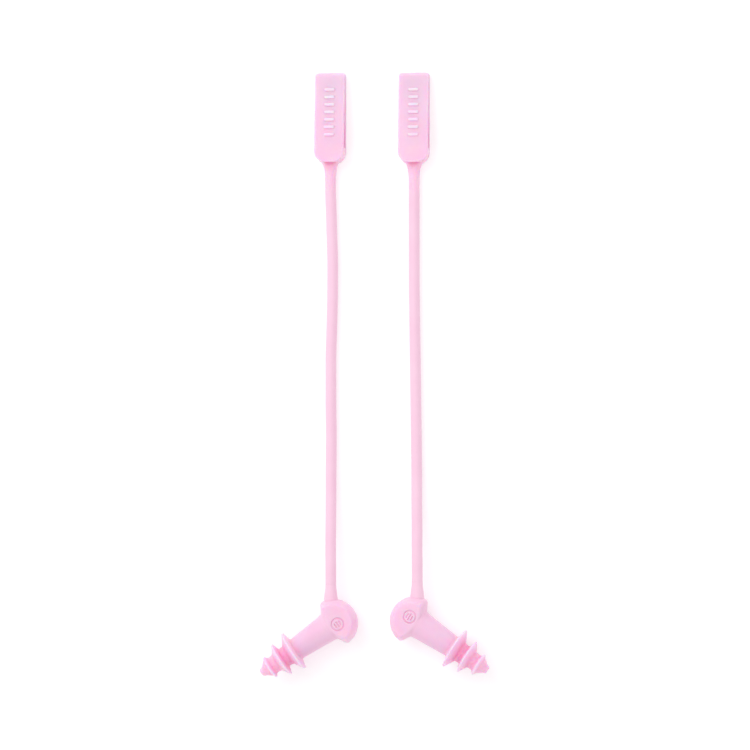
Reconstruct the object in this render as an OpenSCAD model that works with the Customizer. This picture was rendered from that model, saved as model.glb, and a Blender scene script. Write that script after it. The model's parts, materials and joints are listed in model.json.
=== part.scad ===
// A pair of leashed swim ear plugs, lying flat. Each plug has a grip head, a three-flange
// ear tip, a leash and a folded loop that a goggle strap passes through.
// Millimetres. +Z is up, +Y points at the strap loops, and the origin is on the surface
// that the pair lies on, under the middle of the pair.

/* [Grip head] */
// Radius of the head's dome
head_r = 7.05; // [6.95:0.05:7.3]
// Distance from the middle of the head to each of its two flats
flat_at = 4.5; // [4.3:0.1:4.8]
// Radius of the rim where the dome ends
rim_r = 6.85; // [6.6:0.05:6.9]
// Length of the cone under the rim
under_len = 1.6; // [1.4:0.1:1.8]
// Radius of the ring engraved on the upper flat
emblem_r = 1.95; // [1.8:0.05:2.4]

/* [Ear tip] */
// Radius of the stem where it meets the head
stem_r = 4.15; // [3.9:0.05:4.3]
// Radius of the core behind the first flange
neck_r = 3.2; // [3:0.1:3.4]
// Radius of the core at the last flange
core_r = 2.35; // [2.2:0.05:2.5]
// Radius of the first flange's rim, the one nearest the head
flange_1_r = 6.15; // [5.9:0.05:6.4]
// Radius of the second flange's rim
flange_2_r = 5.1; // [4.8:0.05:5.4]
// Radius of the last flange's rim
flange_3_r = 3.4; // [3.2:0.05:3.8]
// Distance of the first flange's rim from the middle of the head
flange_1_at = 14.1; // [13.8:0.1:14.4]
// Distance of the second flange's rim from the middle of the head
flange_2_at = 18.4; // [18.1:0.1:18.7]
// Distance of the last flange's rim from the middle of the head
flange_3_at = 22.4; // [22.1:0.1:22.7]
// Thickness of a flange's rim
rim_t = 0.3; // [0.25:0.05:0.5]
// Radius of the rounded nose
nose_r = 1.5; // [1.4:0.05:1.6]
// Distance of the nose's end from the middle of the head
tip_reach = 25.5; // [25.4:0.1:25.9]

/* [Leash] */
// Radius of the leash
leash_r = 1.55; // [1.5:0.01:1.56]
// Radius of the collar where it meets the head
collar_r = 2; // [1.9:0.05:2.1]
// Radius of the bead that anchors the leash inside the head
bead_r = 2.4; // [2.2:0.1:2.5]

/* [Strap loop] */
// Length of the folded band
loop_len = 26.2; // [25:0.2:27]
// Width of the band
loop_w = 8.7; // [8.3:0.1:9.3]
// Thickness of the band
band_t = 1.3; // [1.1:0.05:1.4]
// Outer radius of the fold at the closed end
fold_r = 1.5; // [1.45:0.05:1.7]
// Height of the loop where its two walls meet the root
loop_h = 5.5; // [5.2:0.1:5.8]
// Length of the solid root between the two walls
root_len = 4.2; // [4:0.1:5]

/* [Hidden] */
$fn = 96;

LEFT = -1;
RIGHT = 1;
loop_pink = "#f9cfe6";
leash_pink = "#f4cfe3";
head_pink = "#f7cbe3";
tip_pink = "#eeb7d3";

// The leash routes, from the strap loop to the plug. Each leash lies on the surface,
// and climbs to the height of its grip head over its last third.
left_route = [
    [-13.1, 52.6, 1.6], [-12.9, 47, 1.6], [-12.7, 40, 1.6], [-12.5, 33, 1.6],
    [-12.5, 26, 1.6], [-12.6, 19, 1.6], [-12.8, 12, 1.6], [-13, 5, 1.6],
    [-13, -2, 1.6], [-13, -9, 1.6], [-12.9, -16, 1.6], [-12.9, -23, 1.7],
    [-12.9, -30, 2], [-12.8, -37, 2.7], [-12.7, -44, 3.7], [-12.6, -50, 4.6],
    [-12.5, -55.8, 5]
];
right_route = [
    [11.4, 52.3, 1.6], [11.4, 47, 1.6], [11.4, 40, 1.6], [11.4, 33, 1.6],
    [11.4, 26, 1.6], [11.5, 19, 1.6], [11.6, 12, 1.6], [11.7, 5, 1.6],
    [11.8, -2, 1.6], [11.9, -9, 1.6], [12, -16, 1.6], [12.1, -23, 1.7],
    [12.2, -30, 2], [12.3, -37, 2.7], [12.5, -44, 3.7], [12.6, -49, 4.6],
    [12.7, -54.8, 5]
];
leash_sides = 8;

// The leash bends at a point this far beyond each end of its tube
bend_gap = leash_r + 0.15;
// Running clearance between the leash's end and the head that turns on it
turn_gap = 0.05;

// Places along the leash's line, measured from the bend towards the head
flare_at = 3.5;
flare_end = 7.2;
seat_at = 8.1;
bead_at = 11.4;
head_at = 14.4;
anchor_r = leash_r - 0.05;
// How far the middle of the head lies inward of the leash's line
head_inset = 0.85;

flange_r = [flange_1_r, flange_2_r, flange_3_r];
flange_at = [flange_1_at, flange_2_at, flange_3_at];

// Each plug points outward and down by its own angle, and lies on the edge of its flat
// and on its first flange
left_plug_angle = 34.8;
right_plug_angle = 32.6;
flat_reach = sqrt(head_r * head_r - flat_at * flat_at);
plug_tilt = atan((flange_r[0] - flat_at) / (flange_at[0] - rim_t / 2 + flat_reach));
head_z = flat_at * cos(plug_tilt) + flat_reach * sin(plug_tilt);

// The head's core pin, inside the ear tip
core_pin_r = 2;
core_pin_end = 12;
core_pin_gap = 0.02;

// Flanges: axial length of each back cone, and length of each front cone per unit of height
back_run = 0.75;
front_slope = 0.6;
// Radius that the nose's cone starts with, at the front of the last flange
nose_root_r = 2.95;

// Emblem: a ring and three bars, cut into the upper flat
emblem_at = [-1.2, 0.9];
emblem_line = 0.4;
emblem_deep = 0.25;
bar_len = [1.4, 2, 1.4];
bar_pitch = 0.75;

// Neck of the strap loop, and the lip of the front wall that hangs over it
neck_root_r = 2.75;
neck_waist_r = 1.9;
neck_waist_at = 6;
neck_end_at = 3.6;
neck_half_h = leash_r + 0.03;
plate_overlap = 0.3;
loop_at = 7.4;
lip = 0.7;
loop_corner_r = 3.2;
fold_corner_r = 1;

// Raised grip ribs on the front wall
rib_count = 7;
rib_pitch = 2.2;
rib_size = [3, 0.9, 0.3];
rib_first = 4.2;

function route(side) = side == LEFT ? left_route : right_route;
function loop_bend(side) = route(side)[0] + [0, bend_gap, 0];
function plug_bend(side) =
    let (end = route(side)[len(route(side)) - 1])
    [end[0], end[1] - bend_gap, head_z];
function head_middle(side) = plug_bend(side) + [-side * head_inset, -head_at, 0];

// A tube swept along a list of points, one ring of vertices at each point
function unit(v) = v / norm(v);
function heading(p, i) = unit(p[min(i + 1, len(p) - 1)] - p[max(i - 1, 0)]);
function ring(p, i, r, sides) =
    let (t = heading(p, i), u = unit(cross(t, [0, 0, 1])), v = cross(u, t))
    [for (k = [0:sides - 1]) let (a = (k + 0.5) * 360 / sides) p[i] + r * (cos(a) * u + sin(a) * v)];
function wall_faces(rings, sides) =
    [for (i = [0:rings - 2], k = [0:sides - 1])
        let (a = i * sides, b = a + sides, n = (k + 1) % sides)
        [a + k, a + n, b + n, b + k]];

module tube(p, r, sides) {
    points = [for (i = [0:len(p) - 1]) each ring(p, i, r, sides)];
    first = [for (k = [0:sides - 1]) sides - 1 - k];
    last = [for (k = [0:sides - 1]) (len(p) - 1) * sides + k];
    polyhedron(points, concat([first, last], wall_faces(len(p), sides)));
}

// Along the leash's line, from the bend near the plug towards the head
module on_leash_end(side) {
    translate(plug_bend(side)) rotate([90, 0, 0]) children();
}

// Along the plug's axis, from the middle of the head towards the nose
module on_plug(side) {
    translate(head_middle(side))
        rotate([0, 0, side == LEFT ? 180 + left_plug_angle : -right_plug_angle])
            rotate([0, -plug_tilt, 0])
                children();
}

module cone(from, to, r_from, r_to) {
    translate([from, 0, 0]) rotate([0, 90, 0]) cylinder(h = to - from, r1 = r_from, r2 = r_to);
}

// Outline of the band seen from above, with its lower edge at y = low
module loop_outline(low) {
    top = loop_at + loop_len;
    half = loop_w / 2;
    translate([-half, low + loop_corner_r]) square([loop_w, top - fold_corner_r - low - loop_corner_r]);
    translate([loop_corner_r - half, low]) square([loop_w - 2 * loop_corner_r, loop_corner_r]);
    translate([fold_corner_r - half, top - 2 * fold_corner_r])
        square([loop_w - 2 * fold_corner_r, 2 * fold_corner_r]);
    for (x = [-1, 1]) {
        translate([x * (half - loop_corner_r), low + loop_corner_r]) circle(loop_corner_r);
        translate([x * (half - fold_corner_r), top - fold_corner_r]) circle(fold_corner_r);
    }
}

// The band's side view is a wedge: y along the loop, z up, with the fold at the far end
wedge = asin((loop_h - 2 * fold_r) / (loop_len - fold_r));
fold_at = loop_at + loop_len - fold_r;

// The sloping side stops this much short of tangent, so that it meets the fold in a clean line
tangent_gap = 0.01;

module wedge_side(r, stop) {
    far = loop_len + 5;
    lift = (r - tangent_gap) * [sin(wedge), cos(wedge)];
    intersection() {
        union() {
            translate([fold_at, fold_r]) circle(r);
            polygon([
                [fold_at, fold_r - r],
                [fold_at - far, fold_r - r],
                [fold_at, fold_r] + lift + far * [-cos(wedge), sin(wedge)],
                [fold_at, fold_r] + lift
            ]);
        }
        translate([stop, -1]) square([loop_len + 2, 12]);
    }
}

module band() {
    intersection() {
        rotate([90, 0, 90]) translate([0, 0, -loop_w / 2]) linear_extrude(loop_w)
            difference() {
                wedge_side(fold_r, loop_at);
                wedge_side(fold_r - band_t, loop_at + root_len);
                translate([loop_at - 1, band_t]) square([lip + 1, loop_h - 2 * band_t]);
            }
        translate([0, 0, -1]) linear_extrude(12) loop_outline(loop_at);
    }
}

// The neck narrows from the root to the leash's thickness and ends in a ball at the bend
module loop_neck() {
    intersection() {
        union() {
            rotate([-90, 0, 0]) cylinder(h = neck_end_at, r = leash_r);
            translate([0, neck_end_at, 0]) rotate([-90, 0, 0])
                cylinder(h = neck_waist_at - neck_end_at, r1 = leash_r, r2 = neck_waist_r);
            translate([0, neck_waist_at, 0]) rotate([-90, 0, 0])
                cylinder(h = loop_at + 1 - neck_waist_at, r1 = neck_waist_r, r2 = neck_root_r);
        }
        translate([-5, -1, -neck_half_h]) cube([10, loop_at + 2, 2 * neck_half_h]);
    }
    sphere(leash_r);
}

module grip_ribs() {
    translate([0, fold_at, fold_r]) rotate([-wedge, 0, 0])
        for (i = [0:rib_count - 1])
            translate([-rib_size[0] / 2, -rib_first - i * rib_pitch, fold_r - 0.1])
                cube([rib_size[0], rib_size[1], rib_size[2] + 0.1]);
}

module strap_loop(side) {
    bend = loop_bend(side);
    color(loop_pink) translate([bend[0], bend[1], 0]) {
        band();
        linear_extrude(band_t) loop_outline(loop_at - plate_overlap);
        translate([0, 0, bend[2]]) loop_neck();
        grip_ribs();
    }
}

module leash(side) {
    color(leash_pink) tube(route(side), leash_r, leash_sides);
}

module leash_collar(side) {
    color(leash_pink) on_leash_end(side) {
        sphere(leash_r);
        cylinder(h = flare_at, r = leash_r);
        translate([0, 0, flare_at])
            cylinder(h = flare_end - flare_at, r1 = leash_r, r2 = collar_r);
        translate([0, 0, flare_end])
            cylinder(h = seat_at - flare_end - turn_gap, r = collar_r);
    }
}

module leash_anchor(side) {
    color(leash_pink) on_leash_end(side) {
        translate([0, 0, seat_at - turn_gap]) cylinder(h = bead_at - seat_at, r = anchor_r);
        translate([0, 0, bead_at]) sphere(bead_r);
    }
}

// The hollow that the leash's end sits and turns in
module leash_socket(side) {
    on_leash_end(side) {
        translate([0, 0, seat_at - 3]) cylinder(h = 3, r = collar_r + turn_gap);
        translate([0, 0, seat_at - 1]) cylinder(h = bead_at - seat_at + 1, r = anchor_r + turn_gap);
        translate([0, 0, bead_at]) sphere(bead_r + turn_gap);
    }
}

module emblem() {
    translate([emblem_at[0], emblem_at[1], flat_at - emblem_deep]) {
        difference() {
            cylinder(h = 1, r = emblem_r);
            translate([0, 0, -1]) cylinder(h = 3, r = emblem_r - emblem_line);
        }
        for (i = [-1:1])
            translate([i * bar_pitch - emblem_line / 2, -bar_len[i + 1] / 2, 0])
                cube([emblem_line, bar_len[i + 1], 1]);
    }
}

module head_solid() {
    difference() {
        intersection() {
            union() {
                intersection() {
                    sphere(head_r);
                    translate([-10, -10, -10]) cube([10, 20, 20]);
                }
                cone(0, under_len, rim_r, stem_r);
            }
            translate([-10, -10, -flat_at]) cube([20, 20, 2 * flat_at]);
        }
        emblem();
    }
    cone(0, core_pin_end, core_pin_r, core_pin_r);
}

module plug_head(side) {
    color(head_pink) difference() {
        on_plug(side) head_solid();
        leash_socket(side);
    }
}

function core_at(t) =
    neck_r + (core_r - neck_r) * (t - flange_at[0] + back_run) / (flange_at[2] - flange_at[0] + back_run);

module flange(i) {
    back = flange_at[i] - rim_t / 2;
    front = flange_at[i] + rim_t / 2;
    front_run = front_slope * (flange_r[i] - core_at(flange_at[i]));
    cone(back - back_run, back, core_at(back - back_run), flange_r[i]);
    cone(back, front, flange_r[i], flange_r[i]);
    cone(front, front + front_run, flange_r[i], core_at(front + front_run));
}

module ear_tip(side) {
    nose_at = tip_reach - nose_r;
    core_start = flange_at[0] - rim_t / 2 - back_run;
    color(tip_pink) on_plug(side) difference() {
        union() {
            cone(under_len, core_start, stem_r, neck_r);
            cone(core_start, flange_at[2], neck_r, core_at(flange_at[2]));
            for (i = [0:2]) flange(i);
            cone(flange_at[2] + rim_t / 2, nose_at + 0.4, nose_root_r, nose_r - 0.05);
            translate([nose_at, 0, 0]) sphere(nose_r);
        }
        cone(0, core_pin_end + core_pin_gap, core_pin_r + core_pin_gap, core_pin_r + core_pin_gap);
    }
}

strap_loop(LEFT);  // left_strap_loop
leash(LEFT);  // left_leash
leash_collar(LEFT);  // left_leash_collar
leash_anchor(LEFT);  // left_leash_anchor
plug_head(LEFT);  // left_plug_head
ear_tip(LEFT);  // left_ear_tip
strap_loop(RIGHT);  // right_strap_loop
leash(RIGHT);  // right_leash
leash_collar(RIGHT);  // right_leash_collar
leash_anchor(RIGHT);  // right_leash_anchor
plug_head(RIGHT);  // right_plug_head
ear_tip(RIGHT);  // right_ear_tip
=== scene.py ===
import json
import math

import bpy
import numpy as np
from mathutils import Matrix, Vector


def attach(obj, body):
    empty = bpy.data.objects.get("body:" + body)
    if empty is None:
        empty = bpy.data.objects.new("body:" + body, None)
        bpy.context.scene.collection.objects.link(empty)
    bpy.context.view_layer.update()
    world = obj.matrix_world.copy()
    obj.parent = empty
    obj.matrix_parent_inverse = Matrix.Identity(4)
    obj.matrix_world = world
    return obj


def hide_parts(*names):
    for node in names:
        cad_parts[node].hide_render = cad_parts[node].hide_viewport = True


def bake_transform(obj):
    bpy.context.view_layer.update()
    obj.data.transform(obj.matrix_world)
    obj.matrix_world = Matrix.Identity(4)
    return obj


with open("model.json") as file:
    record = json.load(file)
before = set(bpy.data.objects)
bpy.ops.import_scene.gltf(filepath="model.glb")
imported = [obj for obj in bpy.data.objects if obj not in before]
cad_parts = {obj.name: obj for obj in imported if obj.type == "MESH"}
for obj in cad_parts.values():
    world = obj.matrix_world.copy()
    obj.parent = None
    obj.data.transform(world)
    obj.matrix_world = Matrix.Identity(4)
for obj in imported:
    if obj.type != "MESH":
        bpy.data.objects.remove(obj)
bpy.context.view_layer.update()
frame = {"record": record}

# Lengths below are millimetres, as in the CAD model. MM turns them into Blender's metres.
MM = 0.001
SIDES = {"left": -1, "right": 1}

# Leash: radius, and the routes that the CAD model uses
LEASH_R = 1.55
ROUTES = {
    "left": [
        (-13.1, 52.6, 1.6), (-12.9, 47, 1.6), (-12.7, 40, 1.6), (-12.5, 33, 1.6),
        (-12.5, 26, 1.6), (-12.6, 19, 1.6), (-12.8, 12, 1.6), (-13, 5, 1.6),
        (-13, -2, 1.6), (-13, -9, 1.6), (-12.9, -16, 1.6), (-12.9, -23, 1.7),
        (-12.9, -30, 2), (-12.8, -37, 2.7), (-12.7, -44, 3.7), (-12.6, -50, 4.6),
        (-12.5, -55.8, 5),
    ],
    "right": [
        (11.4, 52.3, 1.6), (11.4, 47, 1.6), (11.4, 40, 1.6), (11.4, 33, 1.6),
        (11.4, 26, 1.6), (11.5, 19, 1.6), (11.6, 12, 1.6), (11.7, 5, 1.6),
        (11.8, -2, 1.6), (11.9, -9, 1.6), (12, -16, 1.6), (12.1, -23, 1.7),
        (12.2, -30, 2), (12.3, -37, 2.7), (12.5, -44, 3.7), (12.6, -49, 4.6),
        (12.7, -54.8, 5),
    ],
}

# Places along the leash's line, from the bend near the plug towards the head
FLARE_AT, FLARE_END, SEAT_AT, BEAD_AT, HEAD_AT = 3.5, 7.2, 8.1, 11.4, 14.4
COLLAR_R, ANCHOR_R, BEAD_R, TURN_GAP = 2.0, 1.5, 2.4, 0.05
HEAD_INSET = 0.85

# Grip head
HEAD_R, FLAT_AT, RIM_R, UNDER_LEN = 7.05, 4.5, 6.85, 1.6
EMBLEM_AT, EMBLEM_R, EMBLEM_LINE, EMBLEM_DEEP = (-1.2, 0.9), 1.95, 0.4, 0.25
BAR_LENGTHS, BAR_PITCH = (1.4, 2.0, 1.4), 0.75
CORE_PIN_R, CORE_PIN_END, CORE_PIN_GAP = 2.0, 12.0, 0.02

# Ear tip
STEM_R, NECK_R, CORE_R = 4.15, 3.2, 2.35
FLANGE_R, FLANGE_AT, RIM_T = (6.15, 5.1, 3.4), (14.1, 18.4, 22.4), 0.3
BACK_RUN, FRONT_SLOPE = 0.75, 0.6
NOSE_ROOT_R, NOSE_R, TIP_REACH = 2.95, 1.5, 25.5
PLUG_ANGLES = {"left": 34.8, "right": 32.6}

# Strap loop, measured from the bend below it
LOOP_AT, LOOP_LEN, LOOP_W, BAND_T, FOLD_R, LOOP_H, ROOT_LEN = 7.4, 26.2, 8.7, 1.3, 1.5, 5.5, 4.2
LOOP_CORNER_R, FOLD_CORNER_R, PLATE_OVERLAP, LIP = 3.2, 1.0, 0.3, 0.7
RIB_COUNT, RIB_PITCH, RIB_FIRST, RIB_SIZE = 7, 2.2, 4.2, (3.0, 0.9, 0.3)
# The neck's half width at places along the loop, from the leash to the root
NECK_AT, NECK_HALF = (3.2, 4.5, 5.6, 6.4, 7.2, 8), (1.56, 1.68, 1.85, 2.05, 2.35, 2.9)
# The cord ends this far below the bend, and the neck sheathes it for the overlap
STUB, OVERLAP = 4.3, 4.0
# Points stay this far above the floor
FLOOR_GAP = 0.005
# A moulding's parting line: how far it stands proud
SEAM_PROUD = 0.03


# ---------------------------------------------------------------- fields and meshes

def smooth_min(a, b, k):
    """The union of two solids, with a fillet of about k where they meet."""
    h = np.clip(0.5 + 0.5 * (b - a) / k, 0, 1)
    return b + (a - b) * h - k * h * (1 - h)


def smooth_max(a, b, k):
    """The intersection of two solids, with an edge rounded by about k."""
    return -smooth_min(-a, -b, k)


def box_field(x, y, half_x, half_y, r):
    """Distance to a rectangle with rounded corners, around the origin."""
    qx, qy = np.abs(x) - half_x + r, np.abs(y) - half_y + r
    return np.hypot(np.maximum(qx, 0), np.maximum(qy, 0)) + np.minimum(np.maximum(qx, qy), 0) - r


def net(field, low, high, step):
    """(points, quads) of the closed surface where field(x, y, z) is zero.

    Each grid cell that the surface crosses gets one point, which is then moved onto the surface.
    """
    axes = [np.arange(a - step, b + 2 * step, step) for a, b in zip(low, high)]
    d = field(*np.meshgrid(*axes, indexing="ij"))
    cells = tuple(n - 1 for n in d.shape)

    def corner(i, j, k):
        return d[i:i + cells[0], j:j + cells[1], k:k + cells[2]]

    bits = [(i, j, k) for i in (0, 1) for j in (0, 1) for k in (0, 1)]
    total, count = np.zeros(cells + (3,)), np.zeros(cells)
    for a in bits:
        for axis in range(3):
            if a[axis]:
                continue
            b = tuple(v + (n == axis) for n, v in enumerate(a))
            da, db = corner(*a), corner(*b)
            crossed = (da < 0) != (db < 0)
            share = np.where(crossed, da / np.where(crossed, da - db, 1), 0)
            for n in range(3):
                total[..., n] += crossed * (a[n] + (share if n == axis else 0))
            count += crossed
    active = count > 0
    number = np.full(cells, -1)
    number[active] = np.arange(active.sum())
    where = np.argwhere(active)
    points = (where + total[active] / count[active][:, None]) * step + [a[0] for a in axes]

    quads = []
    inside = d < 0
    for axis in range(3):
        u, v = (axis + 1) % 3, (axis + 2) % 3
        near, far = [slice(1, -1)] * 3, [slice(1, -1)] * 3
        near[axis], far[axis] = slice(0, -1), slice(1, None)
        out, back = inside[tuple(near)] & ~inside[tuple(far)], ~inside[tuple(near)] & inside[tuple(far)]
        for flip, mask in ((False, out), (True, back)):
            at = np.argwhere(mask)
            at[:, u] += 1
            at[:, v] += 1
            ring = []
            for du, dv in ((-1, -1), (0, -1), (0, 0), (-1, 0)):
                cell = at.copy()
                cell[:, u] += du
                cell[:, v] += dv
                ring.append(number[tuple(cell.T)])
            quads.append(np.stack(ring[::-1] if flip else ring, axis=1))
    quads = np.concatenate(quads)

    for _ in range(3):
        value = field(*points.T)
        e = step * 0.2
        slope = np.stack([
            (field(*(points + e * np.eye(3)[n]).T) - field(*(points - e * np.eye(3)[n]).T)) / (2 * e)
            for n in range(3)
        ], axis=1)
        shift = -slope * (value / np.maximum((slope ** 2).sum(1), 0.2))[:, None]
        points = points + np.clip(shift, -step / 2, step / 2)
    return points, quads


def add_mesh(name, points, faces, *materials, marked=None):
    """A smooth-shaded object from points in millimetres. Marked faces take the second material."""
    mesh = bpy.data.meshes.new(name)
    mesh.from_pydata((np.asarray(points) * MM).tolist(), [], [list(map(int, f)) for f in faces])
    for material in materials:
        mesh.materials.append(material)
    if marked is not None:
        mesh.polygons.foreach_set("material_index", np.asarray(marked, int))
    mesh.validate()
    mesh.shade_smooth()
    obj = bpy.data.objects.new(name, mesh)
    bpy.context.scene.collection.objects.link(obj)
    return obj


def mark(obj, name, values):
    """Stores one number for each point of obj, which its material reads."""
    layer = obj.data.attributes.new(name, "FLOAT", "POINT")
    layer.data.foreach_set("value", np.asarray(values, float))


def near(values, at, full, gone):
    """1 within full of at, falling to 0 at gone from it."""
    return np.clip((gone - np.abs(np.asarray(values) - at)) / (gone - full), 0, 1)


def round_corners(outline, radii, steps=6):
    """outline with each corner replaced by an arc of its radius. The two ends stay."""
    made = [np.array(outline[0], float)]
    for before, at, after, r in zip(outline, outline[1:], outline[2:], radii):
        before, at, after = (np.array(p, float) for p in (before, at, after))
        a, b = before - at, after - at
        la, lb = np.linalg.norm(a), np.linalg.norm(b)
        a, b = a / la, b / lb
        half = math.acos(max(-1.0, min(1.0, float(a @ b)))) / 2
        run = min(r / math.tan(half), 0.48 * la, 0.48 * lb) if r > 0 else 0
        if run <= 1e-6 or half > 1.55:
            made.append(at)
            continue
        r = run * math.tan(half)
        middle = at + (a + b) / np.linalg.norm(a + b) * r / math.sin(half)
        start, end = at + a * run - middle, at + b * run - middle
        sweep = math.acos(max(-1.0, min(1.0, float(start @ end) / r ** 2)))
        for i in range(steps + 1):
            s = i / steps
            arm = start * math.sin((1 - s) * sweep) + end * math.sin(s * sweep)
            made.append(middle + arm / math.sin(sweep))
    made.append(np.array(outline[-1], float))
    return made


def seam_angles(count):
    """Angles round a moulded piece, closer together at the two lines where the mould halves meet."""
    even = np.arange(count) * 2 * math.pi / count
    fine = np.array([-0.045, -0.03, -0.015, 0.015, 0.03, 0.045])
    return np.sort(np.concatenate([even, fine % (2 * math.pi), math.pi + fine]))


def seam_height(angles, r):
    """How far the mould's parting line stands proud of a round surface of radius r."""
    off = np.minimum(np.abs(np.sin(angles)), 1) * r
    return SEAM_PROUD * np.exp(-(off / 0.07) ** 2)


def lathe(outline, count=72, seam=True):
    """(points, faces) of outline, a list of (along, radius), turned about the X axis."""
    angles = seam_angles(count)
    points, rows = [], []
    for along, r in outline:
        if r < 1e-6:
            rows.append([len(points)])
            points.append((along, 0, 0))
            continue
        grown = r + (seam_height(angles, r) if seam else 0 * angles)
        rows.append(list(range(len(points), len(points) + len(angles))))
        points += list(zip(along + 0 * angles, grown * np.cos(angles), grown * np.sin(angles)))
    faces = []
    n = len(angles)
    for a, b in zip(rows, rows[1:]):
        for k in range(n):
            m = (k + 1) % n
            quad = [a[k % len(a)], a[m % len(a)], b[m % len(b)], b[k % len(b)]]
            face = [v for i, v in enumerate(quad) if v not in quad[:i]]
            if len(face) > 2:
                faces.append(face)
    return np.array(points), faces


def close_lathe(points, faces, count=72):
    """Joins the last ring of a lathe to its first, for a hollow piece."""
    n = len(seam_angles(count))
    first, last = list(range(n)), list(range(len(points) - n, len(points)))
    return points, faces + [[last[k], last[(k + 1) % n], first[(k + 1) % n], first[k]] for k in range(n)]


def smooth_line(points, spacing):
    """A Catmull-Rom curve through points, as points about spacing apart."""
    p = np.array(points, float)
    p = np.concatenate([[2 * p[0] - p[1]], p, [2 * p[-1] - p[-2]]])
    made = []
    for i in range(1, len(p) - 2):
        count = max(2, round(np.linalg.norm(p[i + 1] - p[i]) / spacing))
        for s in np.arange(count) / count:
            made.append(0.5 * (
                2 * p[i] + (p[i + 1] - p[i - 1]) * s
                + (2 * p[i - 1] - 5 * p[i] + 4 * p[i + 1] - p[i + 2]) * s ** 2
                + (3 * p[i] - 3 * p[i + 1] + p[i + 2] - p[i - 1]) * s ** 3
            ))
    made.append(p[-2])
    return np.array(made)


def sweep(line, radius, count=28):
    """(points, faces) of a closed round tube along line, with a parting line on each side."""
    angles = seam_angles(count)
    along = np.gradient(line, axis=0)
    along /= np.linalg.norm(along, axis=1)[:, None]
    side = np.cross(along, [0, 0, 1])
    side /= np.linalg.norm(side, axis=1)[:, None]
    up = np.cross(side, along)
    r = radius + seam_height(angles, radius)
    points = (
        line[:, None]
        + side[:, None] * (r * np.cos(angles))[None, :, None]
        + up[:, None] * (r * np.sin(angles))[None, :, None]
    ).reshape(-1, 3)
    n, rows = len(angles), len(line)
    faces = [
        [i * n + k, (i + 1) * n + k, (i + 1) * n + (k + 1) % n, i * n + (k + 1) % n]
        for i in range(rows - 1) for k in range(n)
    ]
    faces.append(list(range(n)))
    faces.append(list(range((rows - 1) * n, rows * n))[::-1])
    return points, faces


# ---------------------------------------------------------------- materials

# Painted shade: the deeper pink that crevices are painted in
PAINTED_CREVICE_SHADE = (0.90, 0.36, 0.60)
# Painted light: the paler colour painted on thin flange rims and engraved lines
PAINTED_LIGHT_COLOUR = (0.92, 0.68, 0.85)
# How many blotches, gloss patches and grains there are to a metre
BLOTCH_SCALE, GLOSS_SCALE, GRAIN_SCALE = 160, 900, 9000
# Light travels this far inside the silicone, and crevices this deep and narrow are shaded
SCATTER_DEPTH, CREVICE_REACH = 0.003, 0.0035


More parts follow.
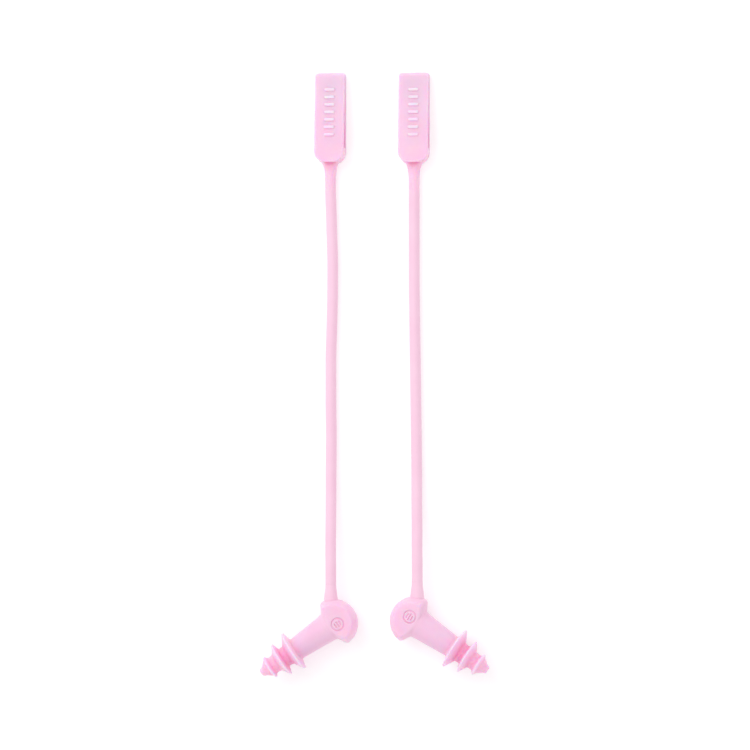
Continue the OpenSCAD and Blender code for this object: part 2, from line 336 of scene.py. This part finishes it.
def silicone(name, colour, deep, rough):
    """Soft moulded silicone: translucent, satin, with a fine moulded grain and faint blotches.

    Crevices found by ambient occlusion, and points marked "deep", are painted a deeper pink as
    painted shade for light bouncing inside a crevice. Points marked for painted light are paler,
    and points marked "opaque" let no light in, so that two pieces of one moulding meet without a dark
    line.
    """
    mat = bpy.data.materials.new(name)
    mat.use_nodes = True
    nodes, links = mat.node_tree.nodes, mat.node_tree.links
    shader = nodes["Principled BSDF"]
    place = nodes.new("ShaderNodeTexCoord").outputs["Object"]

    def noise(scale, detail):
        made = nodes.new("ShaderNodeTexNoise")
        made.inputs["Scale"].default_value = scale
        made.inputs["Detail"].default_value = detail
        links.new(place, made.inputs["Vector"])
        return made.outputs["Fac"]

    def marked(attribute):
        made = nodes.new("ShaderNodeAttribute")
        made.attribute_name = attribute
        return made.outputs["Fac"]

    blotch = nodes.new("ShaderNodeValToRGB")
    blotch.color_ramp.elements[0].position = 0.3
    blotch.color_ramp.elements[1].position = 0.7
    blotch.color_ramp.elements[0].color = (*deep, 1)
    blotch.color_ramp.elements[1].color = (*colour, 1)
    links.new(noise(BLOTCH_SCALE, 3), blotch.inputs["Fac"])

    # Painted shade: crevices found by ambient occlusion, and points marked deep, are painted in the
    # crevice colour
    open_air = nodes.new("ShaderNodeAmbientOcclusion")
    open_air.samples = 6
    open_air.only_local = True
    open_air.inputs["Distance"].default_value = CREVICE_REACH
    shade = nodes.new("ShaderNodeMapRange")
    shade.inputs["From Min"].default_value = 0.35
    shade.inputs["From Max"].default_value = 0.9
    links.new(open_air.outputs["AO"], shade.inputs["Value"])
    deeper = nodes.new("ShaderNodeMath")
    deeper.operation = "SUBTRACT"
    deeper.use_clamp = True
    links.new(shade.outputs["Result"], deeper.inputs[0])
    links.new(marked("deep"), deeper.inputs[1])
    painted_shade = nodes.new("ShaderNodeMixRGB")
    painted_shade.inputs["Color1"].default_value = (*PAINTED_CREVICE_SHADE, 1)
    links.new(deeper.outputs["Value"], painted_shade.inputs["Fac"])
    links.new(blotch.outputs["Color"], painted_shade.inputs["Color2"])
    # Painted light: marked points are mixed towards the paler colour
    pale = nodes.new("ShaderNodeMixRGB")
    pale.inputs["Color2"].default_value = (*PAINTED_LIGHT_COLOUR, 1)
    links.new(marked("painted_light"), pale.inputs["Fac"])
    links.new(painted_shade.outputs["Color"], pale.inputs["Color1"])
    links.new(pale.outputs["Color"], shader.inputs["Base Color"])

    weight = nodes.new("ShaderNodeMapRange")
    weight.inputs["To Min"].default_value = 0.9
    weight.inputs["To Max"].default_value = 0
    links.new(marked("opaque"), weight.inputs["Value"])
    links.new(weight.outputs["Result"], shader.inputs["Subsurface Weight"])

    gloss = nodes.new("ShaderNodeMapRange")
    gloss.inputs["To Min"].default_value = rough - 0.06
    gloss.inputs["To Max"].default_value = rough + 0.08
    links.new(noise(GLOSS_SCALE, 4), gloss.inputs["Value"])
    links.new(gloss.outputs["Result"], shader.inputs["Roughness"])

    grain = nodes.new("ShaderNodeBump")
    grain.inputs["Strength"].default_value = 0.18
    grain.inputs["Distance"].default_value = 0.00004
    links.new(noise(GRAIN_SCALE, 3), grain.inputs["Height"])
    links.new(grain.outputs["Normal"], shader.inputs["Normal"])

    shader.inputs["Subsurface Radius"].default_value = (1.0, 0.3, 0.55)
    shader.inputs["Subsurface Scale"].default_value = SCATTER_DEPTH
    shader.inputs["IOR"].default_value = 1.41
    shader.inputs["Specular IOR Level"].default_value = 0.4
    shader.inputs["Sheen Weight"].default_value = 0.08
    shader.inputs["Sheen Roughness"].default_value = 0.5
    return mat


def floor_material():
    """White paper lit a little from below, as on a light table, so that shadows stay faint."""
    mat = bpy.data.materials.new("floor")
    mat.use_nodes = True
    shader = mat.node_tree.nodes["Principled BSDF"]
    shader.inputs["Base Color"].default_value = (0.72, 0.72, 0.72, 1)
    shader.inputs["Roughness"].default_value = 0.9
    shader.inputs["Emission Color"].default_value = (1, 1, 1, 1)
    shader.inputs["Emission Strength"].default_value = 0.36
    return mat


MATERIALS = {
    "strap_loop": silicone("loop_silicone", (0.945, 0.615, 0.765), (0.93, 0.58, 0.745), 0.46),
    "grip_ribs": silicone("rib_silicone", (0.96, 0.72, 0.86), (0.95, 0.70, 0.85), 0.42),
    "leash": silicone("leash_silicone", (0.94, 0.62, 0.77), (0.92, 0.585, 0.745), 0.44),
    "plug_head": silicone("head_silicone", (0.94, 0.612, 0.782), (0.925, 0.58, 0.76), 0.46),
    "ear_tip": silicone("tip_silicone", (0.93, 0.585, 0.765), (0.91, 0.55, 0.735), 0.42),
}


# ---------------------------------------------------------------- pieces

def joint_place(name):
    """Where a hinge is at rest, in millimetres."""
    joints = frame["record"]["behaviour"]["joints"]
    return np.array(next(j for j in joints if j["name"] == name)["pos_m"]) / MM


def finish_piece(piece, slot, *nodes):
    """Hides the CAD nodes that piece stands in for. Its slot is not used."""
    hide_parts(*nodes)
    return piece


def wedge_field(y, z):
    """Distance to the thin wedge at the heart of the folded band: y along the loop, z up."""
    wedge = math.asin((LOOP_H - 2 * FOLD_R) / (LOOP_LEN - FOLD_R))
    u, v = LOOP_AT + LOOP_LEN - FOLD_R - y, z - FOLD_R
    u2, v2 = u * math.cos(wedge) + v * math.sin(wedge), v * math.cos(wedge) - u * math.sin(wedge)
    below = np.where(u > 0, -v, np.hypot(u, v))
    above = np.where(u2 > 0, v2, np.hypot(u, v))
    inside = -np.minimum(v, -v2)
    return np.where(v < 0, below, np.where(v2 > 0, above, inside)), u2, v2


def outline_field(x, y, low):
    """Distance to the band's outline seen from above, with its lower edge at y = low."""
    top = LOOP_AT + LOOP_LEN
    middle, half = (top + low) / 2, (top - low) / 2
    r = np.where(y < middle, LOOP_CORNER_R, FOLD_CORNER_R)
    return box_field(x, y - middle, LOOP_W / 2, half, r)


def loop_field(x, y, z):
    """Distance to the folded band with its slot, lip, ribs, root plate and neck."""
    heart, u2, v2 = wedge_field(y, z)
    band = smooth_max(heart - FOLD_R, outline_field(x, y, LOOP_AT), 0.45)
    slot = smooth_max(heart - (FOLD_R - BAND_T), LOOP_AT + ROOT_LEN - y, 0.6)
    band = smooth_max(band, -slot, 0.3)
    under = np.maximum(np.abs(z - LOOP_H / 2) - LOOP_H / 2 + BAND_T, y - LOOP_AT - LIP)
    band = smooth_max(band, -under, 0.25)
    for i in range(RIB_COUNT):
        along = u2 - RIB_FIRST - i * RIB_PITCH + RIB_SIZE[1] / 2
        rib = box_field(x, along, RIB_SIZE[0] / 2, RIB_SIZE[1] / 2, 0.4)
        rib = smooth_max(rib, np.abs(v2 - FOLD_R) - RIB_SIZE[2], 0.15)
        band = smooth_min(band, rib, 0.12)
    plate_edge = outline_field(x, y, LOOP_AT - PLATE_OVERLAP)
    plate = smooth_max(plate_edge, np.abs(z - BAND_T / 2) - BAND_T / 2, 0.35)
    solid = smooth_min(band, plate, 0.3)
    wide = np.interp(y, NECK_AT, NECK_HALF)
    feather = np.interp(y, (-STUB - OVERLAP, -STUB), (-0.04, 0.02))
    across = box_field(x, z - LEASH_R - 0.05, wide + feather, LEASH_R + feather, LEASH_R + feather)
    neck = np.maximum(across, np.maximum(-STUB - OVERLAP - y, y - LOOP_AT - 1))
    return np.maximum(smooth_min(solid, neck, 0.55), FLOOR_GAP - z)


def strap_loop(side):
    """The folded band, its root and its neck, set along the top of the leash's route."""
    bend = joint_place(f"{side}_loop_fold")
    step = 0.15
    half = LOOP_W / 2
    low, high = (-half, -STUB - OVERLAP, 0), (half, LOOP_AT + LOOP_LEN, LOOP_H + 0.4)
    points, quads = net(loop_field, low, high, step)
    middles = points[quads].mean(axis=1)
    ribs = wedge_field(middles[:, 1], middles[:, 2])[2] > FOLD_R + RIB_SIZE[2] * 0.45
    points[:, 0] += bend[0]
    points[:, 1] += bend[1]
    route = np.array(ROUTES[side])[::-1]
    points[:, 0] += np.interp(points[:, 1], route[:, 1], route[:, 0]) - bend[0]
    points[:, 2] = np.maximum(points[:, 2], FLOOR_GAP)
    looks = MATERIALS["strap_loop"], MATERIALS["grip_ribs"]
    piece = add_mesh(f"{side}_strap_loop_soft", points, quads, *looks, marked=ribs)
    mark(piece, "opaque", near(points[:, 1], bend[1] - STUB - OVERLAP / 2, 4, 11))
    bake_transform(piece)
    finish_piece(piece, "strap_loop", f"{side}_strap_loop")


def leash(side):
    """The round leash, from the loop's neck to the collar at the head."""
    bend = joint_place(f"{side}_plug_swing")
    route = ROUTES[side] + [tuple(bend), tuple(bend - [0, FLARE_AT + 0.2, 0])]
    line = smooth_line(route, 0.9)
    top = joint_place(f"{side}_loop_fold")[1] - STUB
    line = line[line[:, 1] < top]
    points, faces = sweep(line, LEASH_R)
    piece = add_mesh(f"{side}_leash_cord", points, faces, MATERIALS["leash"])
    mark(piece, "opaque", np.ones(len(points)))
    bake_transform(piece)
    finish_piece(piece, "leash", f"{side}_leash")


def leash_end(side):
    """The collar that flares into the head, and the bead that holds it there."""
    bend = joint_place(f"{side}_plug_swing")
    turn = Matrix.Translation(Vector(bend * MM)) @ Matrix.Rotation(-math.pi / 2, 4, "Z")
    collar = round_corners(
        [(FLARE_AT - 1, 0), (FLARE_AT - 1, LEASH_R - 0.03), (FLARE_AT + 0.8, LEASH_R + 0.05),
         (FLARE_END - 0.9, COLLAR_R - 0.12), (FLARE_END + 0.2, COLLAR_R), (SEAT_AT - TURN_GAP, COLLAR_R),
         (SEAT_AT - TURN_GAP, 0)],
        (0.02, 2, 2, 1, 0.1),
    )
    points, faces = lathe(collar, 40)
    piece = add_mesh(f"{side}_leash_collar_soft", points, faces, MATERIALS["leash"])
    mark(piece, "opaque", np.ones(len(points)))
    piece.data.transform(turn)
    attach(piece, f"{side}_leash_end")
    finish_piece(piece, "leash", f"{side}_leash_collar")

    bead = [(SEAT_AT - TURN_GAP + 0.02, 0), (SEAT_AT - TURN_GAP + 0.02, ANCHOR_R)]
    start = math.asin(ANCHOR_R / BEAD_R)
    for a in np.linspace(start, math.pi, 20):
        bead.append((BEAD_AT - BEAD_R * math.cos(a), BEAD_R * math.sin(a)))
    bead[-1] = (BEAD_AT + BEAD_R, 0)
    piece = add_mesh(f"{side}_leash_anchor_bead", *lathe(bead, 40, seam=False), MATERIALS["leash"])
    piece.data.transform(turn)
    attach(piece, f"{side}_leash_end")
    finish_piece(piece, "leash", f"{side}_leash_anchor")


def plug_place(side):
    """The matrix that takes the plug's own axes, X towards the nose and Z up, to its place in metres."""
    sign = SIDES[side]
    reach = math.sqrt(HEAD_R ** 2 - FLAT_AT ** 2)
    tilt = math.atan((FLANGE_R[0] - FLAT_AT) / (FLANGE_AT[0] - RIM_T / 2 + reach))
    middle = joint_place(f"{side}_plug_swing") + [-sign * HEAD_INSET, -HEAD_AT, 0]
    turn = math.radians(180 + PLUG_ANGLES[side] if sign < 0 else -PLUG_ANGLES[side])
    return (
        Matrix.Translation(Vector(middle * MM))
        @ Matrix.Rotation(turn, 4, "Z") @ Matrix.Rotation(-tilt, 4, "Y")
    )


def socket_field(side, x, y, z):
    """Distance to the hollow in the head that the leash's end turns in, snug round the collar."""
    place = np.array(plug_place(side))
    world = np.stack([x, y, z], axis=-1) @ place[:3, :3].T + place[:3, 3] / MM
    bend = joint_place(f"{side}_plug_swing")
    along = bend[1] - world[..., 1]
    r = np.hypot(world[..., 0] - bend[0], world[..., 2] - bend[2])
    seat = np.maximum(r - COLLAR_R + 0.01, np.abs(along - SEAT_AT + 1.5) - 1.5)
    bore_middle, bore_half = (SEAT_AT + BEAD_AT) / 2, (BEAD_AT - SEAT_AT) / 2 + 0.1
    bore = np.maximum(r - ANCHOR_R - TURN_GAP, np.abs(along - bore_middle) - bore_half)
    bead = np.hypot(along - BEAD_AT, r) - BEAD_R - TURN_GAP
    return np.minimum(np.minimum(seat, bore), bead)


def emblem_field(x, y):
    """Distance to the outline of the engraved ring and its three bars."""
    x, y = x - EMBLEM_AT[0], y - EMBLEM_AT[1]
    half = EMBLEM_LINE / 2
    lines = np.abs(np.hypot(x, y) - EMBLEM_R + half) - half
    for i, length in enumerate(BAR_LENGTHS):
        lines = np.minimum(lines, box_field(x - (i - 1) * BAR_PITCH, y, half, length / 2, half))
    return lines


def head_field(side):
    """The field of one head, in the plug's own axes."""
    slope = UNDER_LEN / (RIM_R - STEM_R)

    def field(x, y, z):
        r = np.hypot(y, z)
        dome = np.hypot(x, r) - HEAD_R
        under = (x - slope * (RIM_R - np.maximum(r, STEM_R - 0.35))) / math.hypot(1, slope)
        seam = SEAM_PROUD * np.exp(-(z / 0.08) ** 2)
        solid = smooth_max(dome - seam, np.abs(z) - FLAT_AT, 0.25)
        solid = smooth_max(solid, under, 0.65)
        groove = np.maximum(emblem_field(x, y), FLAT_AT - EMBLEM_DEEP - z)
        solid = smooth_max(solid, -groove, 0.12)
        socket = socket_field(side, x, y, z)
        solid = smooth_max(solid, -socket, 0.05)
        pin = np.maximum(r - CORE_PIN_R, np.maximum(-x, x - CORE_PIN_END))
        return np.minimum(solid, np.maximum(pin, -socket))

    return field


def plug_head(side):
    """The grip head: a dome with two flats, an engraved ring and the socket for the leash."""
    step = 0.14
    low, high = (-HEAD_R, -HEAD_R, -FLAT_AT), (CORE_PIN_END, HEAD_R, FLAT_AT)
    points, quads = net(head_field(side), low, high, step)
    piece = add_mesh(f"{side}_plug_head_soft", points, quads, MATERIALS["plug_head"])
    x, y, z = points.T
    # Painted light: the engraved ring and bars are painted a little paler, against the painted crevice
    # shade in them
    engraved = near(emblem_field(x, y), 0, 0.1, 0.3) * (z > FLAT_AT - EMBLEM_DEEP - 0.1)
    mark(piece, "painted_light", 0.15 * engraved)
    at_stem, at_collar = near(x, UNDER_LEN, 0.4, 2), near(socket_field(side, x, y, z), 0, 1, 3)
    mark(piece, "opaque", np.maximum(at_stem, at_collar))
    piece.data.transform(plug_place(side))
    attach(piece, f"{side}_plug")
    finish_piece(piece, "plug_head", f"{side}_plug_head")


def core_at(t):
    """Radius of the tip's core at t from the middle of the head."""
    start = FLANGE_AT[0] - BACK_RUN
    return NECK_R + (CORE_R - NECK_R) * (t - start) / (FLANGE_AT[2] - start)


def ear_tip(side):
    """The tapered stem with its three flanges and rounded nose, hollow for the head's core pin."""
    outline = [(UNDER_LEN - 0.2, CORE_PIN_R + CORE_PIN_GAP), (UNDER_LEN - 0.2, STEM_R + 0.2)]
    outline += [(UNDER_LEN + 0.1, STEM_R + 0.1), (UNDER_LEN + 1.3, STEM_R - 0.1)]
    radii = [0.1, 0.6, 1.5]
    for at, r in zip(FLANGE_AT, FLANGE_R):
        back, front = at - RIM_T / 2, at + RIM_T / 2
        run = FRONT_SLOPE * (r - core_at(at))
        outline += [(back - BACK_RUN, core_at(back - BACK_RUN)), (back, r), (front, r)]
        outline += [(front + run, core_at(front + run) + 0.03)]
        radii += [0.6, 0.1, 0.1, 0.7]
    # The nose's cone starts at the last flange, so that flange's front slope stops short
    outline[-1] = (FLANGE_AT[2] + 0.65, NOSE_ROOT_R - 0.4)
    outline += [(TIP_REACH - 0.9, NOSE_R - 0.15), (TIP_REACH, NOSE_R - 0.4), (TIP_REACH, 0)]
    radii += [0.9, 1.0]
    shape = round_corners(outline, radii + [0])
    shape += [(CORE_PIN_END + CORE_PIN_GAP, 0), (CORE_PIN_END + CORE_PIN_GAP, CORE_PIN_R + CORE_PIN_GAP)]
    points, faces = close_lathe(*lathe(shape, 96), 96)
    piece = add_mesh(f"{side}_ear_tip_soft", points, faces, MATERIALS["ear_tip"])
    out = np.hypot(points[:, 1], points[:, 2])
    # Painted light: the flange rims are painted paler, for light showing through the thin silicone
    rims = np.zeros(len(points))
    for at, r in zip(FLANGE_AT, FLANGE_R):
        rims += near(points[:, 0], at, 0.5, 0.9) * near(out, r, 0, 0.9)
    mark(piece, "painted_light", 0.8 * rims)
    # Painted shade: the core between the flanges takes more of the crevice colour
    core = near(out, NECK_R, 0, 1.6) * (points[:, 0] > FLANGE_AT[0])
    mark(piece, "deep", 0.3 * core)
    mark(piece, "opaque", near(points[:, 0], UNDER_LEN, 0.6, 2.5))
    piece.data.transform(plug_place(side))
    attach(piece, f"{side}_plug")
    finish_piece(piece, "ear_tip", f"{side}_ear_tip")


# ---------------------------------------------------------------- camera, light and floor

def add_camera():
    """A long lens almost straight above, a little to the right, with the photograph's framing."""
    width, lens, yaw = 0.2175, 120, math.radians(8)
    data = bpy.data.cameras.new("camera")
    data.lens = lens
    data.clip_end = 10
    away = width * lens / data.sensor_width
    camera = bpy.data.objects.new("camera", data)
    camera.location = (away * math.sin(yaw), 0, 0.002 + away * math.cos(yaw))
    camera.rotation_euler = (0, yaw, 0)
    bpy.context.scene.collection.objects.link(camera)
    bpy.context.scene.camera = camera


def add_area(name, place, size, power):
    """A white area light that points at the origin."""
    data = bpy.data.lights.new(name, "AREA")
    data.size = size
    data.energy = power
    light = bpy.data.objects.new(name, data)
    light.location = place
    light.rotation_euler = (-Vector(place)).to_track_quat("-Z", "Y").to_euler()
    bpy.context.scene.collection.objects.link(light)


def add_studio():
    """A soft key light from the upper left, a softer top light, a pale world and the floor."""
    add_area("key", (-0.4, 0.42, 0.6), 0.6, 2.1)
    add_area("top", (0.05, 0.1, 0.9), 0.8, 1)
    world = bpy.data.worlds.new("world")
    bpy.context.scene.world = world
    world.use_nodes = True
    world.node_tree.nodes["Background"].inputs["Color"].default_value = (1, 1, 1, 1)
    world.node_tree.nodes["Background"].inputs["Strength"].default_value = 0.78
    bpy.context.scene.view_settings.view_transform = "Standard"
    half = 1500
    corners = [(-half, -half, 0), (half, -half, 0), (half, half, 0), (-half, half, 0)]
    floor = add_mesh("floor", corners, [(0, 1, 2, 3)], floor_material())


add_camera()
for side in SIDES:
    leash(side)
for side in SIDES:
    strap_loop(side)
    leash_end(side)
    plug_head(side)
    ear_tip(side)
add_studio()
